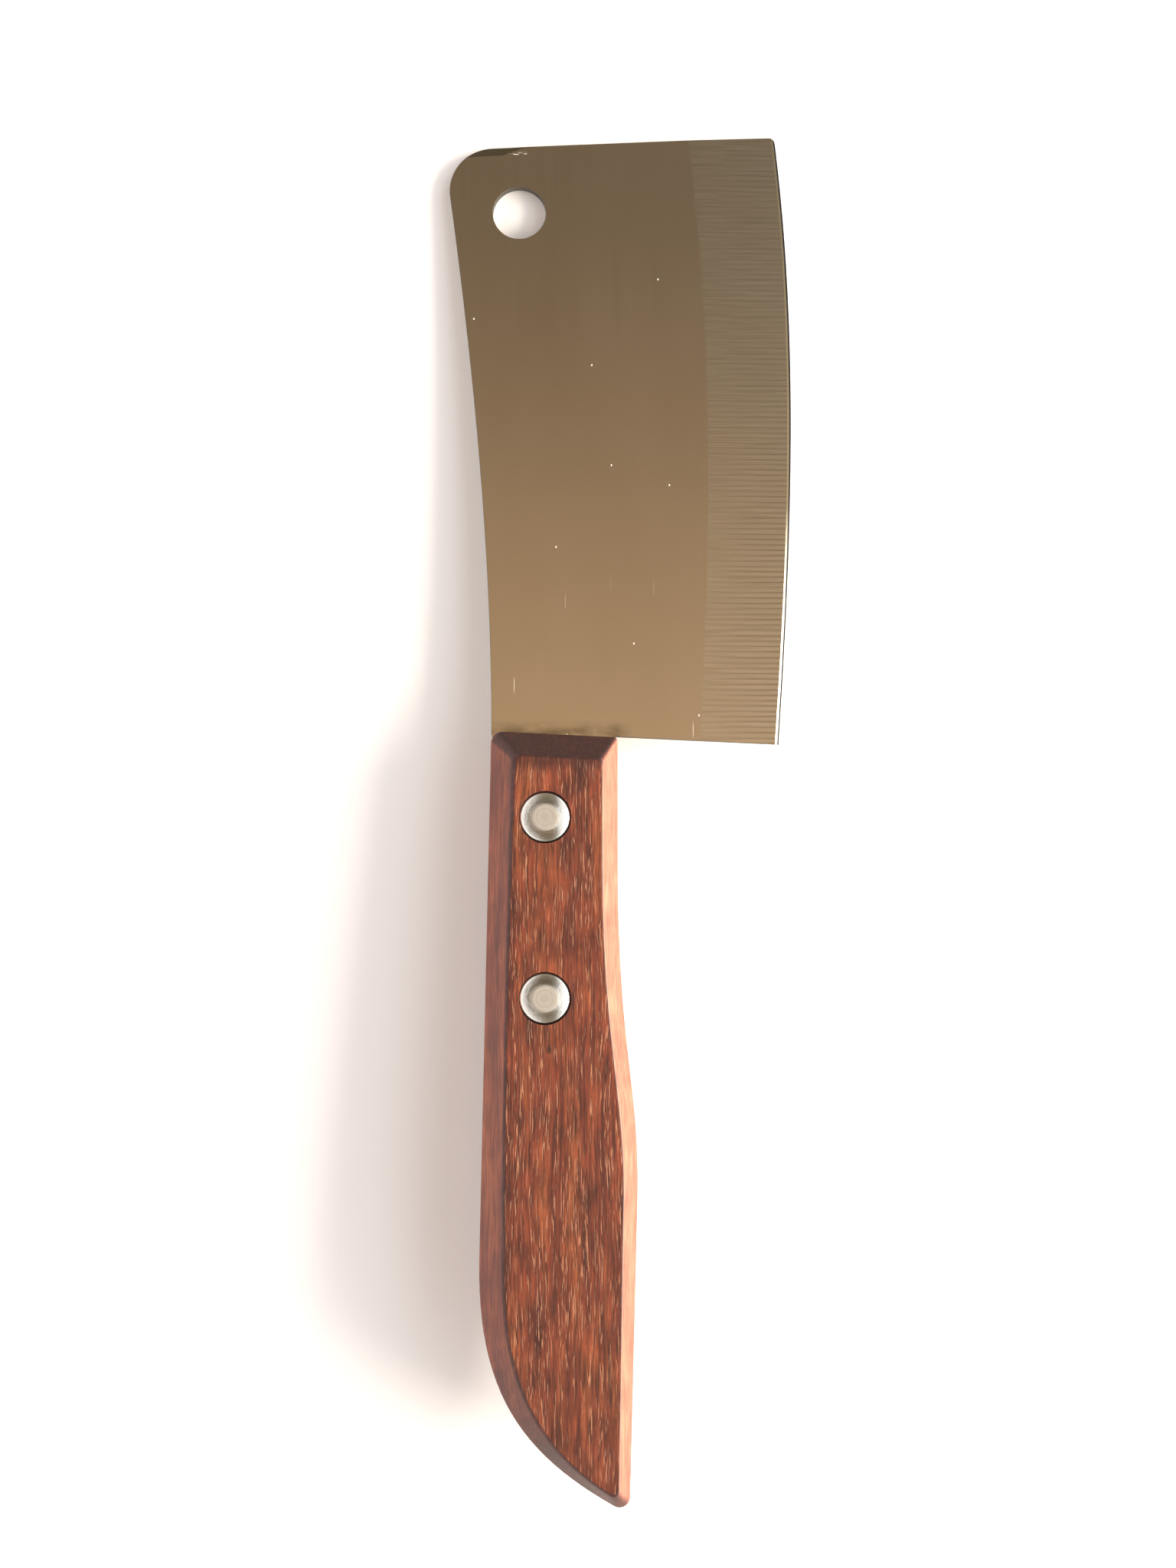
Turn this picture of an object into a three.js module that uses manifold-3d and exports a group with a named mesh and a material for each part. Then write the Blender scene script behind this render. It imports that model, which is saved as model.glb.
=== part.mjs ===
import * as THREE from 'three';
import { mergeVertices } from 'three/addons/utils/BufferGeometryUtils.js';
import Module from 'manifold-3d';

// Small kitchen cleaver lying on its side, in millimetres.
// +Y runs from the butt of the handle to the tip of the blade, +X from the spine to the cutting
// edge, and +Z up. Plan sizes start at the corner where the spine meets the front of the handle,
// and heights start at the middle of the blade's thickness.

// Blade plate
const bladeThickness = 1.5;
const spineLength = 99;             // handle to tip, along the spine side
const spineSweep = 8.4;             // how far the spine leans out at the tip
const spineBend = 38;               // where the spine's two straight directions would cross
const spineTipRadius = 7.4;
const tipAngle = 2.35;              // degrees, the tip end rises towards the cutting edge
const bladeDepth = 47.5;            // spine line to the corners of the cutting edge
const edgeTipRadius = 1;
const edgeBellyAtHeel = 2.5;        // pull of the edge's outward curve, near each end
const edgeBellyAtTip = 4;
const heelAngle = 2.8;              // degrees, heel and handle front slope down together
const heelClearance = 0.5;          // heel line stands this far ahead of the wood

// Ground bevel and honed edge, alike on both sides
const grindWidthAtHeel = 13;
const grindWidthAtTip = 14.8;
const thicknessBehindEdge = 0.6;
const honeWidth = 0.6;
const edgeThickness = 0.15;

// Hanging hole, placed from the blade's tip corner on the spine side
const hangingHoleDiameter = 8.9;
const hangingHoleFromTip = 10.9;
const hangingHoleFromSpine = 12.8;

// Handle outline in plan
const handleLength = 124.7;         // front to the corner of the nose, before it is rounded
const handleThickness = 16;
const frontWidth = 20.6;
const frontStepIn = 0.2;            // wood stands in from the spine line at the front
const frontSpineRadius = 1.4;
const frontBellyRadius = 0.8;
const spineFlare = 1.6;             // spine side swings out this far on its way to the butt
const neckLength = 22;              // straight stretch of the belly side behind the front
const swellFromFront = 75.5;        // widest place of the belly side
const swell = 3.1;                  // how far the belly side swings out there
const swellPullAtNeck = 30;         // how long the neck and the swell keep their direction
const swellPullAtSwell = 18;
const noseTaper = 1.3;              // belly side comes back in from the swell to the nose
const noseRadius = 1.7;
const buttLength = 40;              // curved stretch of the spine side, down to the nose
const buttAngle = 28.7;             // degrees, slope of the butt where it reaches the nose
const buttPullAtSpine = 21;
const buttPullAtNose = 19.5;

// Handle chamfers, alike above and below
const chamferDepth = 3.2;
const spineChamfer = 3.7;
const bellyChamfer = 2.4;
const frontChamfer = 4;

// Tang and its slot, which is open along both sides of the wood
const tangBeyondRivet = 14;         // tang runs on behind the rear rivet
const tangEndRadius = 3;
const tangInset = 0.15;             // edges of the tang lie this far inside the sides of the wood
const slotClearance = 0.15;

// Rivets
const firstRivetFromFront = 14.2;
const rivetSpacing = 29;
const rivetFromSpine = 9.1;
const headDiameter = 7.9;
const headHeight = 2;
const headRecess = 0.2;             // heads lie below the flats of the wood
const headRimDrop = 0.9;            // rounded shoulder, from the middle disc to the rim
const headDiscDiameter = 4;
const headDiscSink = 0.12;
const tubeDiameter = 5;
const pinDiameter = 3;
const pinClearance = 0.15;
const shankClearance = 0.2;         // round the tube, in the wood and the tang
const counterboreClearance = 0.35;  // round the heads
const seatClearance = 0.15;         // under the heads
const pinEndGap = 0.4;

// Fineness of curves
const sideSegments = 14;
const cornerSegments = 4;
const roundSegments = 32;
const shoulderSegments = 4;

const wasm = await Module();
wasm.setup();

const vec = (x, y) => new THREE.Vector2(x, y);
const slope = (degrees) => Math.tan(THREE.MathUtils.degToRad(degrees));

// Closed geometry to solid, and back
function solid(geometry) {
  const bare = geometry.clone();
  bare.deleteAttribute('normal');
  bare.deleteAttribute('uv');
  const merged = mergeVertices(bare);
  return new wasm.Manifold(new wasm.Mesh({
    numProp: 3,
    vertProperties: new Float32Array(merged.attributes.position.array),
    triVerts: new Uint32Array(merged.index.array),
  }));
}

function geometryOf(body) {
  const { vertProperties, triVerts } = body.getMesh();
  const geometry = new THREE.BufferGeometry();
  geometry.setAttribute('position', new THREE.BufferAttribute(vertProperties, 3));
  geometry.setIndex(new THREE.BufferAttribute(triVerts, 1));
  geometry.computeVertexNormals();
  return geometry;
}

// Plate of an outline, with its middle at height 0
function plate(outline, thickness) {
  const geometry = new THREE.ExtrudeGeometry(outline, {
    depth: thickness,
    bevelEnabled: false,
    curveSegments: cornerSegments,
  });
  return solid(geometry.translate(0, 0, -thickness / 2));
}

// Upright round cutter between two heights
function roundCutter(centre, diameter, low, high) {
  const geometry = new THREE.CylinderGeometry(diameter / 2, diameter / 2, high - low, roundSegments);
  geometry.rotateX(Math.PI / 2);
  return solid(geometry.translate(centre.x, centre.y, (low + high) / 2));
}

// Arc that rounds the corner between two straight directions
function cornerArc(before, corner, after, radius) {
  const back = before.clone().sub(corner).normalize();
  const ahead = after.clone().sub(corner).normalize();
  const halfAngle = Math.acos(back.dot(ahead)) / 2;
  const reach = radius / Math.tan(halfAngle);
  const start = corner.clone().addScaledVector(back, reach);
  const end = corner.clone().addScaledVector(ahead, reach);
  const inward = back.clone().add(ahead).normalize();
  const centre = corner.clone().addScaledVector(inward, radius / Math.sin(halfAngle));
  const startAngle = start.clone().sub(centre).angle();
  const endAngle = end.clone().sub(centre).angle();
  const clockwise = back.cross(ahead) > 0;
  const draw = (path) => path.absarc(centre.x, centre.y, radius, startAngle, endAngle, clockwise);
  return { start, end, draw };
}

function drawThrough(path, points) {
  points.forEach((point) => path.lineTo(point.x, point.y));
}

// Route through the corner points of a plan outline's side, carried straight on past both ends,
// so that what is swept along it turns exactly where the outline turns
class SideRoute extends THREE.Curve {
  constructor(side, runOut) {
    super();
    const [first, second] = side;
    const [last, beforeLast] = side.toReversed();
    const lead = first.clone().sub(second).setLength(runOut);
    const tail = last.clone().sub(beforeLast).setLength(runOut);
    this.stations = [first.clone().add(lead), ...side, last.clone().add(tail)];
    this.steps = this.stations.length - 1;
  }

  getPointAt(u, target = new THREE.Vector3()) {
    const { x, y } = this.stations[Math.round(u * this.steps)];
    return target.set(x, y, 0);
  }

  getTangentAt(u, target = new THREE.Vector3()) {
    const index = Math.round(u * this.steps);
    const before = this.stations[Math.max(index - 1, 0)];
    const after = this.stations[Math.min(index + 1, this.steps)];
    return target.set(after.x - before.x, after.y - before.y, 0).normalize();
  }
}

// Wedge that cuts a sloping face along a route. The face passes through two points of the
// section, each given as its distance to the left of the route and its height. The wedge lies
// outside that face, on the upper side of the piece (face 1) or the under side (face -1).
function slopeCutter(route, flat, foot, face) {
  const run = flat.clone().sub(foot);
  const inner = flat.clone().add(run);
  const outer = foot.clone().sub(run);
  const section = new THREE.Shape([
    vec(-face * inner.y, inner.x),
    vec(-face * outer.y, outer.x),
    vec(-face * inner.y, outer.x),
  ]);
  return solid(new THREE.ExtrudeGeometry(section, {
    steps: route.steps,
    bevelEnabled: false,
    extrudePath: route,
  }));
}

function cutSlopes(body, route, flat, foot) {
  return [1, -1].reduce((cut, face) => cut.subtract(slopeCutter(route, flat, foot, face)), body);
}

// Places shared by the blade, the handle and the rivets
const rivetPlaces = [firstRivetFromFront, firstRivetFromFront + rivetSpacing]
  .map((fromFront) => vec(rivetFromSpine, -fromFront));
const tangEnd = rivetPlaces[1].y - tangBeyondRivet;
const shankHoleDiameter = tubeDiameter + 2 * shankClearance;
const headFace = handleThickness / 2 - headRecess;
const headSeat = headFace - headHeight;
const frontY = (x) => -x * slope(heelAngle);
const heelY = (x) => heelClearance + frontY(x);

// Plan of the wood. Each side is listed from the butt forwards.
const frontSpine = vec(frontStepIn, 0);
const frontBelly = vec(frontStepIn + frontWidth, frontY(frontStepIn + frontWidth));
const neck = vec(frontBelly.x, -neckLength);
const swellTop = vec(frontBelly.x + swell, -swellFromFront);
const nose = vec(swellTop.x - noseTaper, -handleLength);
const buttStart = vec(frontStepIn - spineFlare, buttLength - handleLength);
const bellyWay = swellTop.clone().sub(nose).normalize();
const belly = new THREE.CubicBezierCurve(
  swellTop,
  swellTop.clone().addScaledVector(bellyWay, swellPullAtSwell),
  vec(neck.x, neck.y - swellPullAtNeck),
  neck,
).getPoints(sideSegments);
const spineSide = [buttStart, frontSpine];
const bellySide = [nose, ...belly, frontBelly];

// Place of a side at a distance behind the front
function sideAt(side, y) {
  const ahead = side.findIndex((point) => point.y > y);
  const { x: rearX, y: rearY } = side[ahead - 1];
  return vec(THREE.MathUtils.mapLinear(y, rearY, side[ahead].y, rearX, side[ahead].x), y);
}

// Blade: plate with its tang, ground on both sides towards the cutting edge
function makeBlade() {
  const spineTip = vec(-spineSweep, spineLength);
  const edgeTip = vec(bladeDepth, spineLength + (bladeDepth + spineSweep) * slope(tipAngle));
  const heel = vec(bladeDepth, heelY(bladeDepth));

  const bend = vec(0, spineBend);
  const spineCorner = cornerArc(bend, spineTip, edgeTip, spineTipRadius);
  const spine = new THREE.QuadraticBezierCurve(vec(0, 0), bend, spineCorner.start);

  const pullReach = (edgeTip.y - heel.y) / 3;
  const heelPull = vec(heel.x + edgeBellyAtHeel, heel.y + pullReach);
  const tipPull = vec(edgeTip.x + edgeBellyAtTip, edgeTip.y - pullReach);
  const edgeCorner = cornerArc(spineTip, edgeTip, tipPull, edgeTipRadius);
  const edge = new THREE.CubicBezierCurve(heel, heelPull, tipPull, edgeCorner.end)
    .getPoints(sideSegments);
  const bevelLine = edge.map((point, index) => {
    const width = THREE.MathUtils.lerp(grindWidthAtHeel, grindWidthAtTip, index / sideSegments);
    return vec(point.x - width, point.y);
  });

  const inset = vec(tangInset, 0);
  const tangRoot = vec(frontBelly.x - tangInset, heelY(frontBelly.x));
  const tangBelly = bellySide
    .filter((point) => point.y > tangEnd + tangEndRadius && point !== frontBelly)
    .map((point) => point.clone().sub(inset));
  const tangBellyEnd = sideAt(bellySide, tangEnd).sub(inset);
  const tangSpineEnd = sideAt(spineSide, tangEnd).add(inset);
  const tangSpineRoot = frontSpine.clone().add(inset);
  const outline = new THREE.Shape(spine.getPoints(sideSegments).slice(0, -1));
  spineCorner.draw(outline);
  edgeCorner.draw(outline);
  drawThrough(outline, edge.toReversed().slice(1));
  drawThrough(outline, [tangRoot, ...tangBelly.toReversed()]);
  cornerArc(tangBelly[0], tangBellyEnd, tangSpineEnd, tangEndRadius).draw(outline);
  cornerArc(tangBellyEnd, tangSpineEnd, tangSpineRoot, tangEndRadius).draw(outline);
  drawThrough(outline, [tangSpineRoot]);

  const behindEdge = thicknessBehindEdge / 2;
  const bevelFoot = vec(-grindWidthAtHeel, behindEdge);
  const bevelRoute = new SideRoute(bevelLine, grindWidthAtTip);
  const edgeRoute = new SideRoute(edge, grindWidthAtTip);
  let blade = plate(outline, bladeThickness);
  blade = cutSlopes(blade, bevelRoute, vec(0, bladeThickness / 2), bevelFoot);
  blade = cutSlopes(blade, edgeRoute, vec(honeWidth, behindEdge), vec(0, edgeThickness / 2));

  const hangingHole = spineTip.clone().add(vec(hangingHoleFromSpine, -hangingHoleFromTip));
  blade = blade.subtract(roundCutter(hangingHole, hangingHoleDiameter, -bladeThickness, bladeThickness));
  for (const place of rivetPlaces) {
    blade = blade.subtract(roundCutter(place, shankHoleDiameter, -bladeThickness, bladeThickness));
  }
  return geometryOf(blade);
}

// Handle: one piece of wood, chamfered along its outline, slotted for the tang from the front
// and bored for the rivets
function makeHandle() {
  const spineWay = buttStart.clone().sub(frontSpine).normalize();
  const buttWay = vec(-1, slope(buttAngle)).normalize();
  const noseCorner = cornerArc(nose.clone().add(buttWay), nose, swellTop, noseRadius);
  const butt = new THREE.CubicBezierCurve(
    buttStart,
    buttStart.clone().addScaledVector(spineWay, buttPullAtSpine),
    nose.clone().addScaledVector(buttWay, buttPullAtNose),
    noseCorner.start,
  ).getPoints(sideSegments);

  const outline = new THREE.Shape(butt.slice(0, -1));
  noseCorner.draw(outline);
  drawThrough(outline, belly);
  cornerArc(neck, frontBelly, frontSpine, frontBellyRadius).draw(outline);
  cornerArc(frontBelly, frontSpine, buttStart, frontSpineRadius).draw(outline);

  const top = handleThickness / 2;
  const foot = vec(0, top - chamferDepth);
  const chamfers = [
    { side: [frontSpine, ...butt], width: spineChamfer },
    { side: [noseCorner.end, ...belly, frontBelly], width: bellyChamfer },
    { side: [frontBelly, frontSpine], width: frontChamfer },
  ];
  let handle = plate(outline, handleThickness);
  for (const { side, width } of chamfers) {
    handle = cutSlopes(handle, new SideRoute(side, handleThickness), vec(width, top), foot);
  }

  const slotDepth = slotClearance - tangEnd;
  const slotWidth = 2 * (swellTop.x - buttStart.x);
  const slot = new THREE.BoxGeometry(slotWidth, 2 * slotDepth, bladeThickness + 2 * slotClearance);
  handle = handle.subtract(solid(slot.translate(frontBelly.x / 2, 0, 0)));

  const boreDiameter = headDiameter + 2 * counterboreClearance;
  const boreFloor = headSeat - seatClearance;
  for (const place of rivetPlaces) {
    handle = handle.subtract(roundCutter(place, shankHoleDiameter, -handleThickness, handleThickness));
    handle = handle.subtract(roundCutter(place, boreDiameter, boreFloor, handleThickness));
    handle = handle.subtract(roundCutter(place, boreDiameter, -handleThickness, -boreFloor));
  }
  return geometryOf(handle);
}

// Rivet halves, each turned about its own axis with the head upwards. The pin of one is pressed
// into the tube of the other.
function headProfile() {
  const discRadius = headDiscDiameter / 2;
  const rim = headFace - headRimDrop;
  const shoulder = new THREE.EllipseCurve(
    discRadius, rim, headDiameter / 2 - discRadius, headRimDrop, 0, Math.PI / 2,
  );
  return [
    vec(headDiameter / 2, headSeat),
    ...shoulder.getPoints(shoulderSegments),
    vec(discRadius, headFace - headDiscSink),
    vec(0, headFace - headDiscSink),
  ];
}

function makeRivetPin() {
  const pinEnd = pinEndGap - headSeat;
  const profile = [
    vec(0, pinEnd),
    vec(pinDiameter / 2, pinEnd),
    vec(pinDiameter / 2, headSeat),
    ...headProfile(),
  ];
  return new THREE.LatheGeometry(profile, roundSegments).rotateX(Math.PI / 2);
}

function makeRivetTube() {
  const tubeEnd = pinEndGap - headSeat;
  const boreRadius = pinDiameter / 2 + pinClearance;
  const profile = [
    vec(0, headSeat),
    vec(boreRadius, headSeat),
    vec(boreRadius, tubeEnd),
    vec(tubeDiameter / 2, tubeEnd),
    vec(tubeDiameter / 2, headSeat),
    ...headProfile(),
  ];
  return new THREE.LatheGeometry(profile, roundSegments).rotateX(-Math.PI / 2);
}

// Assembly
const finishes = {
  satinSteel: { color: 0x9a8768, roughness: 0.35, metalness: 1 },
  oiledHardwood: { color: 0x96553e, roughness: 0.55, metalness: 0 },
  rivetMetal: { color: 0xb9b8ae, roughness: 0.3, metalness: 1 },
};

function namedMesh(name, geometry, finish) {
  const mesh = new THREE.Mesh(geometry, new THREE.MeshStandardMaterial(finish));
  mesh.name = name;
  return mesh;
}

const cleaver = new THREE.Group();
cleaver.add(namedMesh('blade', makeBlade(), finishes.satinSteel));
cleaver.add(namedMesh('handle', makeHandle(), finishes.oiledHardwood));
['front', 'rear'].forEach((place, index) => {
  const pin = namedMesh(`${place}_rivet_pin`, makeRivetPin(), finishes.rivetMetal);
  const tube = namedMesh(`${place}_rivet_tube`, makeRivetTube(), finishes.rivetMetal);
  for (const half of [pin, tube]) {
    half.position.set(rivetPlaces[index].x, rivetPlaces[index].y, 0);
    cleaver.add(half);
  }
});

// The origin is the middle of the foot of the cleaver's own box
const box = new THREE.Box3().setFromObject(cleaver);
const middle = box.getCenter(new THREE.Vector3());
cleaver.position.set(-middle.x, -middle.y, -box.min.z);

export default cleaver;
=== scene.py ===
import math

import bmesh
import bpy
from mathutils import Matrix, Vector


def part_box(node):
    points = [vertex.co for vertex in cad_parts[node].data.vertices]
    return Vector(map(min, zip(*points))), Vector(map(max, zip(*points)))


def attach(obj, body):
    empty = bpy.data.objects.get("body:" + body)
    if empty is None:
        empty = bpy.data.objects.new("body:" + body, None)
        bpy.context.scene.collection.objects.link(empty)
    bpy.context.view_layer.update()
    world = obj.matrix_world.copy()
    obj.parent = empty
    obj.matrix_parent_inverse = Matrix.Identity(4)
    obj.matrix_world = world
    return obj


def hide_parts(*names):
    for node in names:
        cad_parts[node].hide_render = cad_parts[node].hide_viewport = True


# Small kitchen cleaver on a pale table: a steel plate riveted into a slotted wooden handle.
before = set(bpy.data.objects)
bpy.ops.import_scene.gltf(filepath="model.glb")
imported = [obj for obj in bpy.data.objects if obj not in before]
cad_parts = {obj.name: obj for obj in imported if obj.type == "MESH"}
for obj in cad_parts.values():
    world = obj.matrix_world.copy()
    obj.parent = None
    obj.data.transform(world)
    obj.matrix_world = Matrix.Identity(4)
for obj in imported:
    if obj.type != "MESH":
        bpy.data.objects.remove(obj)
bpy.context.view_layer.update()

# Camera: held over the cleaver, 300 mm from the plate and square to the table.
# Here and below, plan sizes are millimetres from the corner where the blade's spine meets the
# front of the handle, and heights are millimetres from the middle of the plate.
MM = 0.001
RIVET_FROM_SPINE = 9.1
RIVET_FROM_FRONT = 14.2
FRONT_FLAT_FROM_FRONT = 4.3
CAMERA_DISTANCE = 300
CAMERA_AIM = (15.98, -8.32)
SENSOR_WIDTH = 36
FOCAL_PIXELS = 2370
IMAGE_HEIGHT = 2048

blade_low, blade_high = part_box("blade")
handle_low, handle_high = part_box("handle")
rivet_low, rivet_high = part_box("front_rivet_pin")
rivet_middle = (rivet_low + rivet_high) / 2
corner = Vector((
    rivet_middle.x - RIVET_FROM_SPINE * MM,
    rivet_middle.y + RIVET_FROM_FRONT * MM,
    (blade_low.z + blade_high.z) / 2,
))


def at(x, y, z=0.0):
    """A place in the frame, from its plan sizes and height in millimetres."""
    return corner + Vector((x, y, z)) * MM


# The cleaver is nose-heavy: it leans on the tip of the blade and the front of the handle's flat.
table_front = Vector((0, handle_high.y - FRONT_FLAT_FROM_FRONT * MM, handle_low.z))
table_tip = Vector((0, blade_high.y, blade_low.z))
table_pitch = math.atan2(table_tip.z - table_front.z, table_tip.y - table_front.y)
table_up = Vector((0, -math.sin(table_pitch), math.cos(table_pitch)))

bpy.ops.object.camera_add(
    location=at(*CAMERA_AIM) + table_up * CAMERA_DISTANCE * MM,
    rotation=(table_pitch, 0, 0),
)
camera = bpy.context.object
camera.data.sensor_width = SENSOR_WIDTH
camera.data.lens = SENSOR_WIDTH * FOCAL_PIXELS / IMAGE_HEIGHT
bpy.context.scene.camera = camera

# Table: a sheet of white card, wide enough to fill every view.
# It touches the blade's tip and the handle's front, so it slopes a little against the plate.
TABLE_SIZE = 6000
CARD_WHITE = "#F3F1EF"
CARD_TOOTH = 0.4


def colour(hex_code):
    """An sRGB hex colour as linear red, green, blue and alpha."""
    channels = [int(hex_code[i:i + 2], 16) / 255 for i in (1, 3, 5)]
    return (*(c / 12.92 if c <= 0.04045 else ((c + 0.055) / 1.055) ** 2.4 for c in channels), 1)


def set_inputs(node, inputs):
    """Sets a node's inputs: values, sockets to link, or nodes whose first output in use is linked."""
    for name, value in inputs.items():
        if isinstance(value, bpy.types.Node):
            value = next(output for output in value.outputs if output.enabled)
        if isinstance(value, bpy.types.NodeSocket):
            node.id_data.links.new(value, node.inputs[name])
        else:
            node.inputs[name].default_value = value


def add_node(tree, kind, inputs=None, **settings):
    """A node with its own settings and inputs."""
    node = tree.nodes.new(kind)
    for name, value in settings.items():
        setattr(node, name, value)
    set_inputs(node, inputs or {})
    return node


def new_material(name):
    """A material with its node tree, its shader and the place on the piece that its patterns follow."""
    material = bpy.data.materials.new(name)
    material.use_nodes = True
    tree = material.node_tree
    place = add_node(tree, "ShaderNodeTexCoord").outputs["Object"]
    return material, tree, tree.nodes["Principled BSDF"], place


# Matt white card: soft, with a fine tooth.
card, tree, shader, place = new_material("matt_white_card")
tooth = add_node(tree, "ShaderNodeTexNoise", {
    "Vector": place, "Scale": 1 / (CARD_TOOTH * MM), "Detail": 2,
})
relief = add_node(tree, "ShaderNodeBump", {"Height": tooth, "Strength": 0.1, "Distance": 0.05 * MM})
set_inputs(shader, {"Base Color": colour(CARD_WHITE), "Roughness": 0.9, "Normal": relief})

bpy.ops.object.select_all(action="DESELECT")
bpy.ops.mesh.primitive_plane_add(
    size=TABLE_SIZE * MM, location=table_front, rotation=(table_pitch, 0, 0),
)
table = bpy.context.object
table.name = "table"
bpy.ops.object.transform_apply(location=True, rotation=True, scale=True)
table.data.materials.append(card)

# Light: a soft box to the right with a low strip light under it, in a room with a window on that
# side and a pale wall on the other. Its brown ceiling, darker towards the far end, is what the
# satin steel mirrors.
LIGHT_DISTANCE = 2.5
LIGHT_AZIMUTH = -8
LIGHT_WIDTH = 2.0
BOX_ELEVATION = 28
BOX_HEIGHT = 0.7
BOX_POWER = 95
STRIP_ELEVATION = 17
STRIP_HEIGHT = 0.2
STRIP_POWER = 80
LIGHT_WHITE = "#FFF4E4"
ROOM_STRENGTH = 2.6
CEILING_NEAR = "#9B8064"
CEILING_FAR = "#261D12"
CEILING_EDGE = "#4A3E2E"
WALL_LIGHT = "#D8D5D7"
WALL_DARK = "#6E6558"
DAYLIGHT = "#DADCE2"
BACKDROP_WHITE = "#FFFFFF"

for name, elevation, height, power in (
    ("soft_box", BOX_ELEVATION, BOX_HEIGHT, BOX_POWER),
    ("strip_light", STRIP_ELEVATION, STRIP_HEIGHT, STRIP_POWER),
):
    tilt = math.radians(elevation)
    turn = math.radians(LIGHT_AZIMUTH)
    light_way = Vector((
        math.cos(tilt) * math.cos(turn), math.cos(tilt) * math.sin(turn), math.sin(tilt),
    ))
    bpy.ops.object.light_add(type="AREA", location=light_way * LIGHT_DISTANCE)
    lamp = bpy.context.object
    lamp.name = name
    lamp.rotation_euler = light_way.to_track_quat("Z", "Y").to_euler()
    lamp.data.shape = "RECTANGLE"
    lamp.data.size = LIGHT_WIDTH
    lamp.data.size_y = height
    lamp.data.energy = power
    lamp.data.color = colour(LIGHT_WHITE)[:3]
    lamp.visible_camera = False

room = bpy.data.worlds.new("room")
room.use_nodes = True
bpy.context.scene.world = room
tree = room.node_tree
direction = add_node(tree, "ShaderNodeTexCoord").outputs["Generated"]
far_end = (0, 1, 0)
left_wall = (-1, -0.1, 0)
window = (1, 0, 0)
overhead = (0, 0, 1)


def towards(way, start, end):
    """How far a direction of the room turns towards a way, from 0 at start to 1 at end."""
    along = add_node(tree, "ShaderNodeVectorMath", {0: direction, 1: way}, operation="DOT_PRODUCT")
    return add_node(tree, "ShaderNodeMapRange", {
        "Value": along, "From Min": start, "From Max": end,
    }, interpolation_type="SMOOTHSTEP")


ceiling = add_node(tree, "ShaderNodeMix", {
    0: towards(far_end, start=-0.04, end=0.45), 6: colour(CEILING_NEAR), 7: colour(CEILING_FAR),
}, data_type="RGBA")
walls = add_node(tree, "ShaderNodeMix", {
    0: towards(left_wall, start=0, end=0.6), 6: colour(WALL_DARK), 7: colour(WALL_LIGHT),
}, data_type="RGBA")
edged_ceiling = add_node(tree, "ShaderNodeMix", {
    0: towards(overhead, start=0.86, end=0.97), 6: colour(CEILING_EDGE), 7: ceiling,
}, data_type="RGBA")
inside = add_node(tree, "ShaderNodeMix", {
    0: towards(overhead, start=0.72, end=0.85), 6: walls, 7: edged_ceiling,
}, data_type="RGBA")
lit = add_node(tree, "ShaderNodeMix", {
    0: towards(window, start=0.3, end=0.52), 6: inside, 7: colour(DAYLIGHT),
}, data_type="RGBA")
camera_ray = add_node(tree, "ShaderNodeLightPath").outputs["Is Camera Ray"]
seen = add_node(tree, "ShaderNodeMix", {
    0: camera_ray, 6: lit, 7: colour(BACKDROP_WHITE),
}, data_type="RGBA")
set_inputs(tree.nodes["Background"], {"Color": seen, "Strength": ROOM_STRENGTH})
bpy.context.scene.view_settings.view_transform = "Standard"

# Blade: one plate of stainless steel, punched out with its hanging hole and its tang, ground to a
# bevel on both sides, honed along the edge and finished satin. The tang is riveted into the wood.
PLATE = 1.5
SPINE_BEND = Vector((0, 38))
SPINE_TIP = Vector((-8.4, 99))
EDGE_TIP = Vector((47.5, 101.294))
HEEL = Vector((47.5, -1.823))
SPINE_TIP_RADIUS = 7.4
EDGE_TIP_RADIUS = 1.0
HEEL_BELLY = 2.5
TIP_BELLY = 4.0
GRIND_AT_HEEL = 13.0
GRIND_AT_TIP = 14.8
BEHIND_EDGE = 0.6
HONE_WIDTH = 0.6
EDGE_THICKNESS = 0.15
HOLE_PLACE = Vector((4.4, 88.1))
HOLE_DIAMETER = 8.9
TANG_INSET = 0.15
TANG_SHOULDER = 0.5
TANG_END = -57.2
TANG_END_RADIUS = 3.0
REAR_RIVET_FROM_FRONT = 43.2
RIVET_PLACES = [
    Vector((RIVET_FROM_SPINE, -RIVET_FROM_FRONT)),
    Vector((RIVET_FROM_SPINE, -REAR_RIVET_FROM_FRONT)),
]
SHANK_HOLE_DIAMETER = 5.4
RIM_BREAK = 0.06
RIM_RISE = 0.4
RIM_CORNER = math.radians(50)
STONE_START = Vector((-4.98, 96.81))
STONE_END = Vector((7.18, 99.07))
STONE_ANGLE = 6
LINE_STEPS = 24
WELD = 0.001 * MM
SLIVER = 0.002 * MM


def rounded(before, point, after, radius):
    """Two knots that round the corner between two straight directions with an arc."""
    back = (before - point).normalized()
    ahead = (after - point).normalized()
    turn = math.pi - back.angle(ahead)
    reach = radius * math.tan(turn / 2)
    pull = reach - radius * 4 / 3 * math.tan(turn / 4)
    return [
        (None, point + back * reach, point + back * pull),
        (point + ahead * pull, point + ahead * reach, None),
    ]


def level(height):
    """Plan places at one height."""
    return lambda point: at(*point, height)


def with_pulls(knots):
    """The knots with every pull filled in: a straight stretch has its pulls at its thirds."""
    points = [point for _, point, _ in knots]
    previous = points[-1:] + points[:-1]
    following = points[1:] + points[:1]
    return [
        (before or point.lerp(last, 1 / 3), point, after or point.lerp(following_point, 1 / 3))
        for (before, point, after), last, following_point in zip(knots, previous, following)
    ]


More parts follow.
